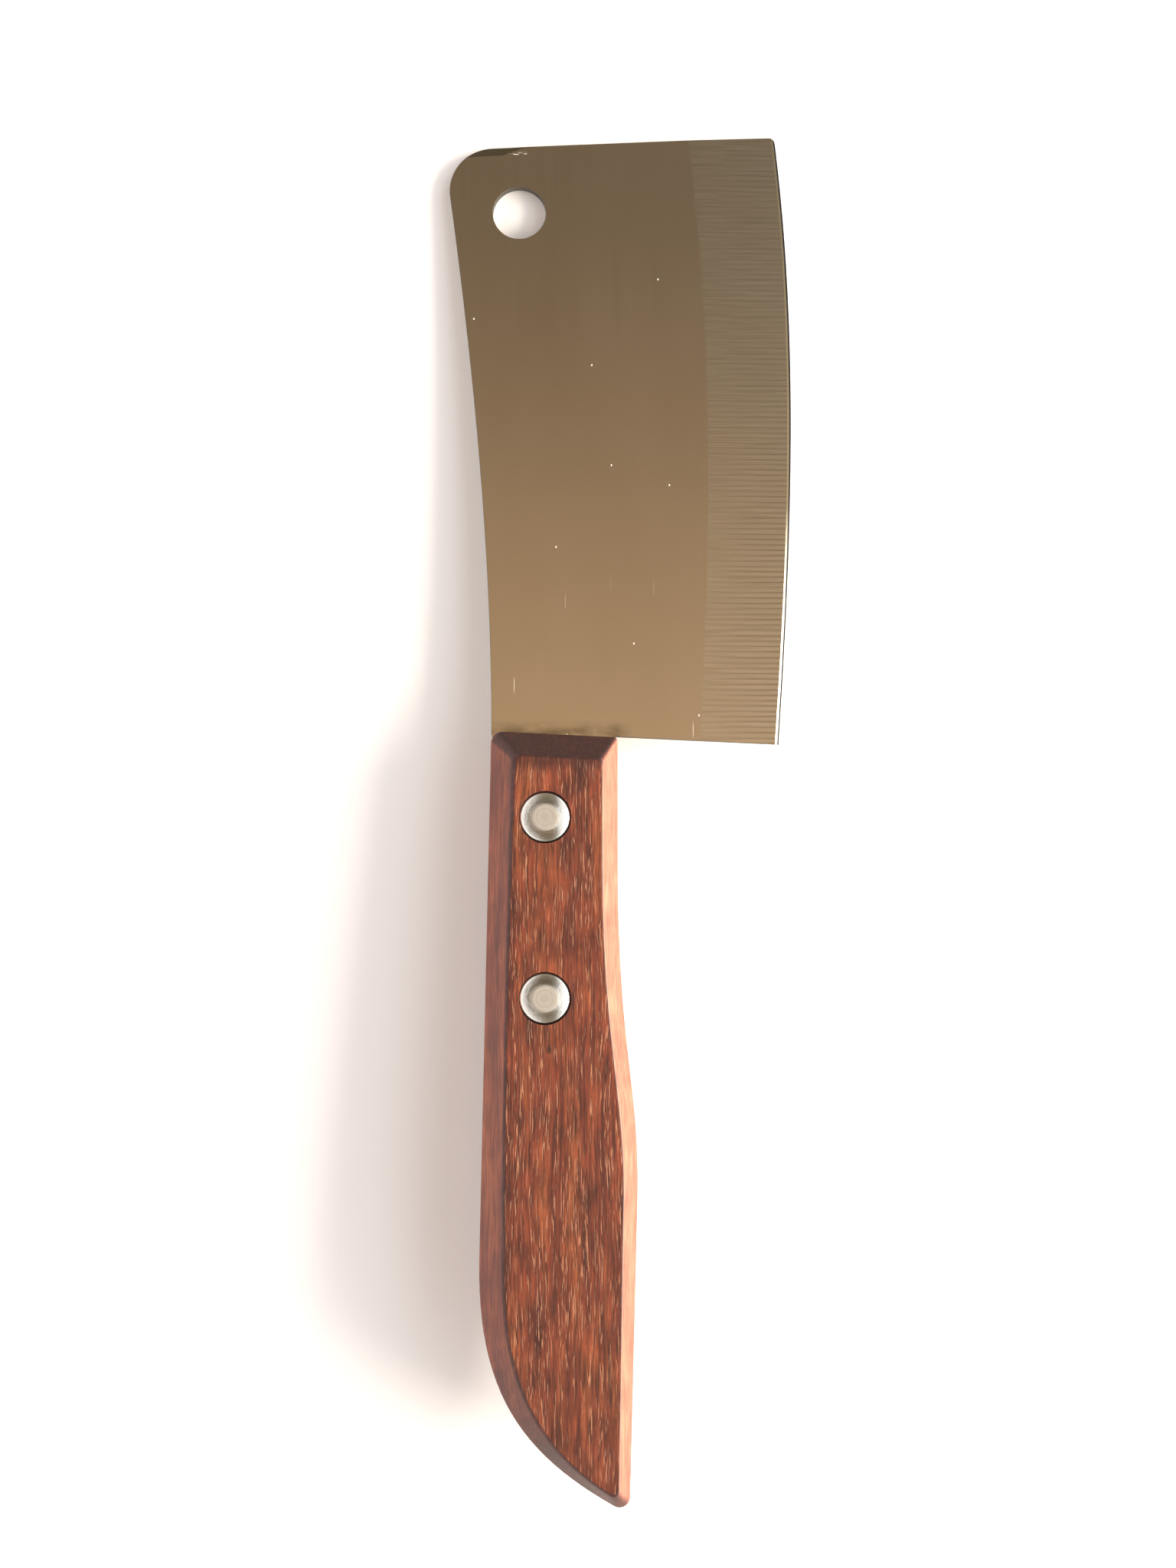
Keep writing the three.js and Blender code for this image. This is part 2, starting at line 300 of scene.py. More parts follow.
def draw_line(knots, to_place, closed=False, steps=LINE_STEPS):
    """A line of edges along a Bezier curve. A knot is (pull before, point, pull after), and where
    a pull is None the line is straight. To_place gives a point's place in the frame."""
    bpy.ops.object.select_all(action="DESELECT")
    bpy.ops.curve.primitive_bezier_curve_add()
    line = bpy.context.object
    spline = line.data.splines[0]
    spline.bezier_points.add(len(knots) - len(spline.bezier_points))
    spline.use_cyclic_u = closed
    spline.resolution_u = steps
    for bezier, (before, point, after) in zip(spline.bezier_points, with_pulls(knots)):
        bezier.handle_left_type = "FREE"
        bezier.handle_right_type = "FREE"
        bezier.co = to_place(point)
        bezier.handle_left = to_place(before)
        bezier.handle_right = to_place(after)
    bpy.ops.object.convert(target="MESH")
    return bpy.context.object


def extrude_outline(outline, height):
    """Fills a closed line and draws it up into a closed solid."""
    bpy.ops.object.mode_set(mode="EDIT")
    bpy.ops.mesh.select_all(action="SELECT")
    bpy.ops.mesh.edge_face_add()
    bpy.ops.mesh.extrude_region_move(TRANSFORM_OT_translate={"value": (0, 0, height * MM)})
    bpy.ops.mesh.select_all(action="SELECT")
    bpy.ops.mesh.normals_make_consistent(inside=False)
    bpy.ops.object.mode_set(mode="OBJECT")
    return outline


def round_bar(place, diameter, low, high, sides=64):
    """An upright round cutter between two heights."""
    bpy.ops.object.select_all(action="DESELECT")
    bpy.ops.mesh.primitive_cylinder_add(
        vertices=sides, radius=diameter / 2 * MM, depth=(high - low) * MM,
        location=at(*place, (low + high) / 2),
    )
    bar = bpy.context.object
    bpy.ops.object.transform_apply(location=True, rotation=True, scale=True)
    return bar


def shape_with(piece, tool, operation="DIFFERENCE"):
    """Cuts a piece with a tool, or keeps what they share, and puts the tool away."""
    bpy.context.view_layer.objects.active = piece
    cut = piece.modifiers.new("cut", "BOOLEAN")
    cut.operation = operation
    cut.object = tool
    cut.solver = "EXACT"
    bpy.ops.object.modifier_apply(modifier=cut.name)
    bpy.data.objects.remove(tool)


def pick(piece, kind, wanted):
    """In edit mode, selects the EDGE or FACE parts that are wanted, and no others."""
    bpy.ops.mesh.select_mode(type=kind)
    bpy.ops.mesh.select_all(action="DESELECT")
    shape = bmesh.from_edit_mesh(piece.data)
    parts = {"EDGE": shape.edges, "FACE": shape.faces}[kind]
    for part in parts:
        part.select = wanted(part)
    shape.select_flush_mode()
    bmesh.update_edit_mesh(piece.data)


def finish_shading(piece, angle):
    """Cleans the mesh and makes it smooth up to an angle, with the broad faces kept flat."""
    bpy.ops.object.select_all(action="DESELECT")
    piece.select_set(True)
    bpy.context.view_layer.objects.active = piece
    bpy.ops.object.mode_set(mode="EDIT")
    bpy.ops.mesh.select_all(action="SELECT")
    bpy.ops.mesh.dissolve_degenerate(threshold=SLIVER)
    bpy.ops.object.mode_set(mode="OBJECT")
    bpy.ops.object.shade_smooth_by_angle(angle=math.radians(angle), keep_sharp_edges=True)
    weighted = piece.modifiers.new("flats", "WEIGHTED_NORMAL")
    weighted.keep_sharp = True
    bpy.ops.object.modifier_apply(modifier=weighted.name)


# Sides of the wood that the tang lies flush with, from the front backwards
FRONT_RADIUS = 1.9
SPINE_FRONT = Vector((0.2, 0))
SPINE_BUTT = Vector((-1.4, -84.7))
BELLY_FRONT = Vector((20.8, -1.017))
NECK = Vector((20.8, -22))
NECK_PULL = Vector((20.8, -52))
SWELL_PULL = Vector((24.375, -57.5))
SWELL = Vector((23.9, -75.5))

# The punched blank, which runs on past the tang's end
edge_reach = Vector((0, (EDGE_TIP.y - HEEL.y) / 3))
heel_pull = HEEL + edge_reach + Vector((HEEL_BELLY, 0))
tip_pull = EDGE_TIP - edge_reach + Vector((TIP_BELLY, 0))
tip_corner = rounded(SPINE_BEND, SPINE_TIP, EDGE_TIP, SPINE_TIP_RADIUS)
edge_corner = rounded(SPINE_TIP, EDGE_TIP, tip_pull, EDGE_TIP_RADIUS)
spine_end = tip_corner[0][1]
tang_step = Vector((TANG_INSET, 0))
blank_end = SPINE_BUTT.lerp(SPINE_FRONT, 0.1)
outline_knots = [
    (None, Vector((0, 0)), SPINE_BEND * 2 / 3),
    (spine_end.lerp(SPINE_BEND, 2 / 3), spine_end, tip_corner[0][2]),
    tip_corner[1],
    edge_corner[0],
    (edge_corner[1][0], edge_corner[1][1], tip_pull),
    (heel_pull, HEEL, None),
    (None, Vector((BELLY_FRONT.x - TANG_INSET, BELLY_FRONT.y + TANG_SHOULDER)), None),
    (None, NECK - tang_step, NECK_PULL - tang_step),
    (SWELL_PULL - tang_step, SWELL - tang_step, None),
    (None, blank_end + tang_step, None),
    (None, SPINE_FRONT + tang_step - Vector((0, FRONT_RADIUS)), None),
]
blank_height = 4 * PLATE
blade = extrude_outline(draw_line(outline_knots, level(-blank_height / 2), closed=True), blank_height)
blade.name = "steel_blade"

# The ground stock: a sheet drawn inwards from just outside the edge, over the hone and the bevel
# to the flat, closed down to the middle of the plate and mirrored for the under side
tip_run_out = 8
tang_run_out = 70
flat_run_out = 70
overshoot = 0.1
hone_slope = (BEHIND_EDGE - EDGE_THICKNESS) / 2 / HONE_WIDTH
heel_way = (HEEL - heel_pull).normalized() * tang_run_out
tip_way = (EDGE_TIP - tip_pull).normalized() * tip_run_out
edge_out = Vector((overshoot, 0))
edge_knots = [
    (None, HEEL + heel_way + edge_out, None),
    (None, HEEL + edge_out, heel_pull + edge_out),
    (tip_pull + edge_out, EDGE_TIP + edge_out, None),
    (None, EDGE_TIP + tip_way + edge_out, None),
]
stock = draw_line(edge_knots, level(EDGE_THICKNESS / 2 - overshoot * hone_slope), steps=64)
grind_run = GRIND_AT_HEEL - HONE_WIDTH
grind_turn = math.atan2(GRIND_AT_TIP - GRIND_AT_HEEL, EDGE_TIP.y - HEEL.y)
bpy.ops.object.mode_set(mode="EDIT")
bpy.ops.mesh.select_all(action="SELECT")
hone_rise = hone_slope * (HONE_WIDTH + overshoot)
bpy.ops.mesh.extrude_edges_move(TRANSFORM_OT_translate={
    "value": (-(HONE_WIDTH + overshoot) * MM, 0, hone_rise * MM),
})
bpy.ops.mesh.extrude_edges_move(TRANSFORM_OT_translate={
    "value": (-grind_run * MM, 0, (PLATE - BEHIND_EDGE) / 2 * MM),
})
bpy.ops.transform.rotate(
    value=-grind_turn, orient_axis="Z", center_override=at(HEEL.x - GRIND_AT_HEEL, HEEL.y),
)
bpy.ops.mesh.extrude_edges_move(TRANSFORM_OT_translate={"value": (-flat_run_out * MM, 0, 0)})
bpy.ops.mesh.select_all(action="SELECT")
bpy.ops.mesh.extrude_region_move(TRANSFORM_OT_translate={"value": (0, 0, 0)})
bpy.ops.transform.resize(value=(1, 1, 0), center_override=corner)
bpy.ops.mesh.delete(type="FACE")
bpy.ops.mesh.select_all(action="SELECT")
bpy.ops.mesh.duplicate()
bpy.ops.transform.resize(value=(1, 1, -1), center_override=corner)
bpy.ops.mesh.select_all(action="SELECT")
bpy.ops.mesh.remove_doubles(threshold=WELD)
bpy.ops.mesh.normals_make_consistent(inside=False)
bpy.ops.object.mode_set(mode="OBJECT")

# The plate is what the punched outline and the ground stock share
shape_with(blade, stock, "INTERSECT")
shape_with(blade, round_bar(HOLE_PLACE, HOLE_DIAMETER, -PLATE, PLATE))
for place in RIVET_PLACES:
    shape_with(blade, round_bar(place, SHANK_HOLE_DIAMETER, -PLATE, PLATE))

# The tang is sheared off behind the rear rivet, and the tip's corner is dressed on a stone
stone_along = (STONE_END - STONE_START).normalized()
stone_tilt = math.radians(STONE_ANGLE)
stone_face = Vector((-stone_along.y, stone_along.x, 1 / math.tan(stone_tilt)))
bpy.ops.object.mode_set(mode="EDIT")
bpy.ops.mesh.select_all(action="SELECT")
bpy.ops.mesh.bisect(plane_co=at(0, TANG_END), plane_no=(0, -1, 0), use_fill=True, clear_outer=True)
bpy.ops.mesh.select_all(action="SELECT")
bpy.ops.mesh.bisect(
    plane_co=at(*STONE_START, PLATE / 2), plane_no=stone_face.normalized(),
    use_fill=True, clear_outer=True,
)
tang_end_zone = at(0, TANG_END + overshoot).y
pick(blade, "EDGE", lambda edge: edge.verts[0].co.z != edge.verts[1].co.z
     and all(v.co.y < tang_end_zone for v in edge.verts))
bpy.ops.mesh.bevel(offset=TANG_END_RADIUS * MM, segments=6, affect="EDGES", clamp_overlap=False)

# The rim and the hole have their sharp corners broken, all but the cutting edge
heel_margin = 0.5
edge_zone = at(EDGE_TIP.x - 3 * HONE_WIDTH, 0).x
heel_zone = at(0, HEEL.y - heel_margin).y
pick(blade, "EDGE", lambda edge: edge.is_manifold
     and edge.calc_face_angle() > RIM_CORNER
     and abs(edge.verts[0].co.z - edge.verts[1].co.z) < RIM_RISE * MM
     and all(v.co.x < edge_zone and v.co.y > heel_zone for v in edge.verts))
bpy.ops.mesh.bevel(offset=RIM_BREAK * MM, segments=2, affect="EDGES", clamp_overlap=False)
bpy.ops.object.mode_set(mode="OBJECT")
finish_shading(blade, angle=1)

# Four finishes: the satin flat, the ground bevel, the honed edge and the sheared rim
GROUND_FINISH = 1
HONED_FINISH = 2
SHEARED_FINISH = 3
SIDE_LEVEL = 0.93
GROUND_SLOPE = 0.01
HONED_SLOPE = 0.2
bevel_margin = 2
bevel_start = at(EDGE_TIP.x - GRIND_AT_TIP - bevel_margin, 0).x
for face in blade.data.polygons:
    if abs(face.normal.z) < SIDE_LEVEL:
        face.material_index = SHEARED_FINISH
    elif face.center.x > bevel_start and face.normal.x > HONED_SLOPE:
        face.material_index = HONED_FINISH
    elif face.center.x > bevel_start and face.normal.x > GROUND_SLOPE:
        face.material_index = GROUND_FINISH


def along_piece(tree, place, width, length):
    """Coordinates whose unit is a width across the cleaver and a length along it, in millimetres."""
    return add_node(tree, "ShaderNodeVectorMath", {
        0: place, 1: (1 / (width * MM), 1 / (length * MM), 1 / (width * MM)),
    }, operation="MULTIPLY")


def streaks(tree, place, width, length, detail, low=0.0, high=1.0, start=0.0, end=1.0):
    """Noise in streaks of about a width across the cleaver and a length along it, in millimetres.
    Its values from low to high become start to end."""
    noise = add_node(tree, "ShaderNodeTexNoise", {
        "Vector": along_piece(tree, place, width, length), "Scale": 1, "Detail": detail,
    })
    return add_node(tree, "ShaderNodeMapRange", {
        "Value": noise, "From Min": low, "From Max": high, "To Min": start, "To Max": end,
    })


def marks(tree, place, width, length, apart):
    """Scattered marks of about one width and length in millimetres, soft at their rims. Apart is how
    many times larger the space round each mark is."""
    cells = add_node(tree, "ShaderNodeTexVoronoi", {
        "Vector": along_piece(tree, place, width, length), "Scale": 1 / apart,
    }, voronoi_dimensions="2D")
    return add_node(tree, "ShaderNodeMapRange", {
        "Value": cells, "From Min": 0.5 / apart, "From Max": 0.3 / apart,
    })


# Satin stainless steel: polished lengthwise on a belt, so it mirrors the room softly. It has a few
# specks of dust, scratches by the heel and smudges by the wood, and the facet dressed on a stone is
# painted darker as shade. The belt's lines are drawn coarser than the real 0.05 mm, so that they show.
STEEL = "#D1CABB"
STEEL_DULL = "#C7BFAD"
STEEL_BRIGHT = "#FFF9EC"
STEEL_SMUDGE = "#8F8A78"
STEEL_FACET_SHADE = "#7F7766"
STONE_MARKS = (4.3, 98.45)
STONE_MARKS_SIZE = (2.0, 0.35)
SCRATCHED_FROM = 28
SCRATCHED_FULLY = 14
SMUDGE_REACH = 2.2
SMUDGE_SIDE_REACH = 3.0
satin_steel, tree, shader, place = new_material("satin_stainless_steel")
tone = add_node(tree, "ShaderNodeMix", {
    0: streaks(tree, place, width=14, length=30, detail=2), 6: colour(STEEL), 7: colour(STEEL_DULL),
}, data_type="RGBA")
normal = add_node(tree, "ShaderNodeNewGeometry").outputs["Normal"]
facing = add_node(tree, "ShaderNodeSeparateXYZ", {0: normal})
# Painted shade on the faces turned towards the far end, which is the facet at the tip.
on_facet = add_node(tree, "ShaderNodeMapRange", {
    "Value": facing.outputs["Y"], "From Min": 0.04, "From Max": 0.08,
})
facet_shaded = add_node(tree, "ShaderNodeMix", {
    0: on_facet, 6: tone, 7: colour(STEEL_FACET_SHADE),
}, data_type="RGBA")

from_stone = add_node(tree, "ShaderNodeVectorMath", {
    0: place, 1: at(*STONE_MARKS),
}, operation="SUBTRACT")
across_stone = add_node(tree, "ShaderNodeVectorMath", {
    0: along_piece(tree, from_stone, *STONE_MARKS_SIZE), 1: (1, 1, 0),
}, operation="MULTIPLY")
stone_distance = add_node(tree, "ShaderNodeVectorMath", {0: across_stone}, operation="LENGTH")
stone_reach = add_node(tree, "ShaderNodeMapRange", {
    "Value": stone_distance, "From Min": 1, "From Max": 0.6,
})
stone_marks = add_node(tree, "ShaderNodeMath", {
    0: stone_reach, 1: streaks(tree, place, width=0.9, length=0.08, detail=2, low=0.55, high=0.65),
}, operation="MULTIPLY")

from_corner = add_node(tree, "ShaderNodeVectorMath", {0: place, 1: at(0, 0)}, operation="SUBTRACT")
axes = add_node(tree, "ShaderNodeSeparateXYZ", {0: from_corner})
near_heel = add_node(tree, "ShaderNodeMapRange", {
    "Value": axes.outputs["Y"], "From Min": SCRATCHED_FROM * MM, "From Max": SCRATCHED_FULLY * MM,
    "To Max": 0.6,
})
scratches = add_node(tree, "ShaderNodeMath", {
    0: marks(tree, place, width=0.12, length=3.4, apart=22), 1: near_heel,
}, operation="MULTIPLY")
specks = marks(tree, place, width=0.28, length=0.42, apart=54)
dots = add_node(tree, "ShaderNodeMath", {0: specks, 1: scratches}, operation="MAXIMUM")
bright = add_node(tree, "ShaderNodeMath", {0: dots, 1: stone_marks}, operation="MAXIMUM")
marked = add_node(tree, "ShaderNodeMix", {
    0: bright, 6: facet_shaded, 7: colour(STEEL_BRIGHT),
}, data_type="RGBA")

near_wood = add_node(tree, "ShaderNodeMapRange", {
    "Value": axes.outputs["Y"], "From Min": SMUDGE_REACH * MM, "From Max": 0,
})
beside_wood = add_node(tree, "ShaderNodeMapRange", {
    "Value": axes.outputs["X"],
    "From Min": (BELLY_FRONT.x + SMUDGE_SIDE_REACH) * MM, "From Max": BELLY_FRONT.x * MM,
})
smudge_reach = add_node(tree, "ShaderNodeMath", {0: near_wood, 1: beside_wood}, operation="MULTIPLY")
smudges = add_node(tree, "ShaderNodeMath", {
    0: smudge_reach, 1: streaks(tree, place, width=3.5, length=1.6, detail=2, low=0.3, high=0.7),
}, operation="MULTIPLY")
smudged = add_node(tree, "ShaderNodeMix", {
    0: smudges, 6: marked, 7: colour(STEEL_SMUDGE),
}, data_type="RGBA")

belt_lines = streaks(tree, place, width=0.3, length=24, detail=3)
polish = add_node(tree, "ShaderNodeMapRange", {"Value": belt_lines, "To Min": 0.22, "To Max": 0.26})
relief = add_node(tree, "ShaderNodeBump", {
    "Height": belt_lines, "Strength": 0.008, "Distance": 0.05 * MM,
})
clean = add_node(tree, "ShaderNodeMapRange", {"Value": bright, "To Min": 1, "To Max": 0.3})
set_inputs(shader, {
    "Base Color": smudged, "Metallic": clean, "Roughness": polish, "Normal": relief,
})

# Ground steel: a wheel left fine lines across the bevel, 0.9 mm apart, deepest towards the edge and
# the heel. Lines wander a little, and finer ones lie between them.
GROUND_STEEL = "#D2CEBF"
GROUND_STEEL_LINE = "#958D78"
WHEEL_LINES = 0.9
WHEEL_LINE_LENGTH = 16
FAINT_FROM_HEEL = 80
ground_steel, tree, shader, place = new_material("ground_stainless_steel")
from_heel = add_node(tree, "ShaderNodeVectorMath", {0: place, 1: at(*HEEL)}, operation="SUBTRACT")
axes = add_node(tree, "ShaderNodeSeparateXYZ", {0: from_heel})
to_edge = add_node(tree, "ShaderNodeMapRange", {
    "Value": axes.outputs["X"], "From Min": -GRIND_AT_HEEL * MM, "From Max": 0,
    "To Min": 0.1, "To Max": 1,
})
to_heel = add_node(tree, "ShaderNodeMapRange", {
    "Value": axes.outputs["Y"], "From Min": FAINT_FROM_HEEL * MM, "From Max": 0,
    "To Min": 0.15, "To Max": 0.5,
})
depth = add_node(tree, "ShaderNodeMath", {0: to_edge, 1: to_heel}, operation="MULTIPLY")
waves = add_node(tree, "ShaderNodeTexWave", {
    "Vector": along_piece(tree, place, WHEEL_LINE_LENGTH, WHEEL_LINES),
    "Scale": math.pi / 10, "Distortion": 2,
}, bands_direction="Y")
cuts = add_node(tree, "ShaderNodeMapRange", {"Value": waves, "From Min": 0.45, "From Max": 1})
fine_lines = streaks(tree, place, width=9, length=0.2, detail=1, low=0.3, high=0.7, end=0.3)
lines = add_node(tree, "ShaderNodeMath", {
    0: cuts, 1: depth, 2: fine_lines,
}, operation="MULTIPLY_ADD")
tone = add_node(tree, "ShaderNodeMix", {
    0: lines, 6: colour(GROUND_STEEL), 7: colour(GROUND_STEEL_LINE),
}, data_type="RGBA")
relief = add_node(tree, "ShaderNodeBump", {"Height": lines, "Strength": 0.05, "Distance": 0.1 * MM})
set_inputs(shader, {"Base Color": tone, "Metallic": 1, "Roughness": 0.25, "Normal": relief})

# Honed steel with a painted reflection: bright towards the heel and dark towards the tip, and a dark
# line along the very edge.
HONED_STEEL = "#F0E8D6"
HONED_STEEL_SHADED = "#5A503D"
HONED_STEEL_EDGE = "#1D1C20"
SHADED_FROM_HEEL = 40
LIT_FROM_HEEL = 16
EDGE_LINE = 0.06
honed_steel, tree, shader, place = new_material("honed_stainless_steel")
from_heel = add_node(tree, "ShaderNodeVectorMath", {0: place, 1: at(*HEEL)}, operation="SUBTRACT")
axes = add_node(tree, "ShaderNodeSeparateXYZ", {0: from_heel})
to_heel = add_node(tree, "ShaderNodeMapRange", {
    "Value": axes.outputs["Y"], "From Min": SHADED_FROM_HEEL * MM, "From Max": LIT_FROM_HEEL * MM,
})
# Painted reflection: the hone's colour runs from shaded at the tip to lit by the heel.
hone_reflection = add_node(tree, "ShaderNodeMath", {
    0: to_heel,
    1: streaks(tree, place, width=0.3, length=0.8, detail=2, low=0.3, high=0.6, start=0.6),
}, operation="MULTIPLY")
tone = add_node(tree, "ShaderNodeMix", {
    0: hone_reflection, 6: colour(HONED_STEEL_SHADED), 7: colour(HONED_STEEL),
}, data_type="RGBA")
height = add_node(tree, "ShaderNodeMath", {0: axes.outputs["Z"]}, operation="ABSOLUTE")
to_rim = add_node(tree, "ShaderNodeMapRange", {
    "Value": height, "From Min": (EDGE_THICKNESS + EDGE_LINE) * MM, "From Max": EDGE_THICKNESS * MM,
})
edged = add_node(tree, "ShaderNodeMix", {
    0: to_rim, 6: tone, 7: colour(HONED_STEEL_EDGE),
}, data_type="RGBA")
set_inputs(shader, {"Base Color": edged, "Metallic": 1, "Roughness": 0.38})

# Sheared steel: the punched rim and hole, dull and slightly torn.
SHEARED_STEEL = "#7C776B"
SHEARED_STEEL_DARK = "#4F4B44"
sheared_steel, tree, shader, place = new_material("sheared_stainless_steel")
tone = add_node(tree, "ShaderNodeMix", {
    0: streaks(tree, place, width=0.3, length=0.3, detail=3),
    6: colour(SHEARED_STEEL), 7: colour(SHEARED_STEEL_DARK),
}, data_type="RGBA")
set_inputs(shader, {"Base Color": tone, "Metallic": 1, "Roughness": 0.55})

for finish in (satin_steel, ground_steel, honed_steel, sheared_steel):
    blade.data.materials.append(finish)
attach(blade, "root")
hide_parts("blade")

# Handle: one length of reddish hardwood, sawn to its outline, chamfered all round, sanded and
# oiled. The tang lies in a saw slot that is open at the front and along both sides, and the
# rivets sit in counterbores.
HANDLE_THICKNESS = 16
NOSE = Vector((22.6, -124.7))
NOSE_PULL = Vector((5.5, -115.3))
BUTT_PULL = Vector((-1.8, -105.7))
FLAT_SPINE_FRONT = Vector((4.1, -4.2))
FLAT_BELLY_FRONT = Vector((18.3, -4.9))
FLAT_NECK = Vector((18.3, -21))
FLAT_NECK_PULL = Vector((18.3, -51))
FLAT_SWELL_PULL = Vector((22.1, -58.5))
FLAT_SWELL = Vector((21.65, -76.5))
FLAT_NOSE = Vector((20.85, -121.6))
FLAT_NOSE_PULL = Vector((8.55, -113.9))
FLAT_BUTT_PULL = Vector((1.6, -104))
FLAT_BUTT = Vector((2.7, -82))
FLAT_SPINE_PULL = Vector((2.4, -58))
FLAT_FRONT_PULL = Vector((3.3, -30))
BELLY_FRONT_RADIUS = 0.8
NOSE_RADIUS = 1.7
FLAT_FRONT_RADIUS = 1.3
FLAT_BELLY_RADIUS = 1.0
FLAT_NOSE_RADIUS = 1.0
CHAMFER_DEPTH = 3.2
SLOT_CLEARANCE = 0.15
COUNTERBORE_DIAMETER = 8.4
COUNTERBORE_FLOOR = 5.65
BORE_ARRIS = 0.05
BORE_CORNER = math.radians(60)
FRONT_ARRIS = 0.75
BUTT_ARRIS = 0.55
END_ARRIS = 0.4
CRISP_ARRIS = 0.2
SIDE_ARRIS = 0.3
ARRIS_STEPS = 4

nose_corner = rounded(SWELL, NOSE, NOSE_PULL, NOSE_RADIUS)
side_knots = [
    *rounded(SPINE_BUTT, SPINE_FRONT, BELLY_FRONT, FRONT_RADIUS),
    *rounded(SPINE_FRONT, BELLY_FRONT, NECK, BELLY_FRONT_RADIUS),
    (None, NECK, NECK_PULL),
    (SWELL_PULL, SWELL, None),
    nose_corner[0],
    (*nose_corner[1][:2], NOSE_PULL),
    (BUTT_PULL, SPINE_BUTT, None),
]
flat_front = rounded(FLAT_FRONT_PULL, FLAT_SPINE_FRONT, FLAT_BELLY_FRONT, FLAT_FRONT_RADIUS)
flat_nose = rounded(FLAT_SWELL, FLAT_NOSE, FLAT_NOSE_PULL, FLAT_NOSE_RADIUS)
flat_knots = [
    (FLAT_FRONT_PULL, *flat_front[0][1:]),
    flat_front[1],
    *rounded(FLAT_SPINE_FRONT, FLAT_BELLY_FRONT, FLAT_NECK, FLAT_BELLY_RADIUS),
    (None, FLAT_NECK, FLAT_NECK_PULL),
    (FLAT_SWELL_PULL, FLAT_SWELL, None),
    flat_nose[0],
    (*flat_nose[1][:2], FLAT_NOSE_PULL),
    (FLAT_BUTT_PULL, FLAT_BUTT, FLAT_SPINE_PULL),
]
# Its arrises are sanded over, most along the spine side near the front. The widths go with the
# knots: the front's spine corner and belly corner, the neck, the swell, the nose and the butt.
flat_arrises = [
    FRONT_ARRIS, END_ARRIS, END_ARRIS, CRISP_ARRIS, CRISP_ARRIS, CRISP_ARRIS, CRISP_ARRIS,
    BUTT_ARRIS, BUTT_ARRIS,
]
side_arrises = [SIDE_ARRIS] * len(side_knots)


def chamfer_rim(start, outwards, downwards, arrises):
    """The outline at one step over an arris of the chamfer, which starts at 0 on the flat and 1 on
    the side. The step goes outwards and downwards by those shares of each arris's width."""
    rim = []
    for flat_knot, side_knot, arris in zip(with_pulls(flat_knots), with_pulls(side_knots), arrises):
        share = arris / (side_knot[1] - flat_knot[1]).length
        height = HANDLE_THICKNESS / 2 - CHAMFER_DEPTH * (start + downwards * share)
        rim.append([
            Vector((*flat_point.lerp(side_point, start + outwards * share), height))
            for flat_point, side_point in zip(flat_knot, side_knot)
        ])
    return rim


turns = [step / ARRIS_STEPS for step in range(ARRIS_STEPS + 1)]
upper_rims = [chamfer_rim(0, 2 * turn - 1, turn ** 2, flat_arrises) for turn in turns]
upper_rims += [chamfer_rim(1, -(1 - turn) ** 2, 2 * turn - 1, side_arrises) for turn in turns]

# The wood: the outlines of the upper half and their mirror images, joined one after another
upwards = Vector((1, 1, 1))
downwards = Vector((1, 1, -1))
handle = None
for rims, side in ((upper_rims, upwards), (reversed(upper_rims), downwards)):
    for rim in rims:
        line = draw_line(rim, lambda point: at(*(point * side)), closed=True)
        if handle:
            handle.select_set(True)
            bpy.context.view_layer.objects.active = handle
            bpy.ops.object.join()
        handle = handle or line
        bpy.ops.object.mode_set(mode="EDIT")
        pick(handle, "EDGE", lambda edge: not edge.is_manifold)
        if handle.data.polygons:
            bpy.ops.mesh.bridge_edge_loops()
        else:
            bpy.ops.mesh.edge_face_add()
        bpy.ops.object.mode_set(mode="OBJECT")
handle.name = "wooden_handle"
bpy.ops.object.mode_set(mode="EDIT")
pick(handle, "EDGE", lambda edge: not edge.is_manifold)
bpy.ops.mesh.edge_face_add()
bpy.ops.mesh.select_all(action="SELECT")
bpy.ops.mesh.normals_make_consistent(inside=False)
pick(handle, "FACE", lambda face: len(face.verts) > 4)
bpy.ops.mesh.quads_convert_to_tris(quad_method="BEAUTY", ngon_method="BEAUTY")
bpy.ops.object.mode_set(mode="OBJECT")

# The saw slot, the rivets' counterbores and the holes for their shanks
slot_width = 80
slot_front = 10
slot_end = TANG_END - SLOT_CLEARANCE
bpy.ops.object.select_all(action="DESELECT")
bpy.ops.mesh.primitive_cube_add(
    size=1, location=at(NECK.x / 2, (slot_front + slot_end) / 2),
    scale=(slot_width * MM, (slot_front - slot_end) * MM, (PLATE + 2 * SLOT_CLEARANCE) * MM),
)
saw = bpy.context.object
bpy.ops.object.transform_apply(location=True, rotation=True, scale=True)
shape_with(handle, saw)
for place in RIVET_PLACES:
    shape_with(handle, round_bar(place, SHANK_HOLE_DIAMETER, -HANDLE_THICKNESS, HANDLE_THICKNESS))
    shape_with(handle, round_bar(place, COUNTERBORE_DIAMETER, COUNTERBORE_FLOOR, HANDLE_THICKNESS))
    shape_with(handle, round_bar(place, COUNTERBORE_DIAMETER, -HANDLE_THICKNESS, -COUNTERBORE_FLOOR))
flat_height = HANDLE_THICKNESS / 2 * MM
flat_margin = 0.01 * MM
bpy.ops.object.mode_set(mode="EDIT")
pick(handle, "EDGE", lambda edge: edge.calc_face_angle() > BORE_CORNER
     and all(abs(abs(v.co.z - corner.z) - flat_height) < flat_margin for v in edge.verts))
bpy.ops.mesh.bevel(offset=BORE_ARRIS * MM, segments=2, affect="EDGES", clamp_overlap=False)
bpy.ops.object.mode_set(mode="OBJECT")
finish_shading(handle, angle=25)
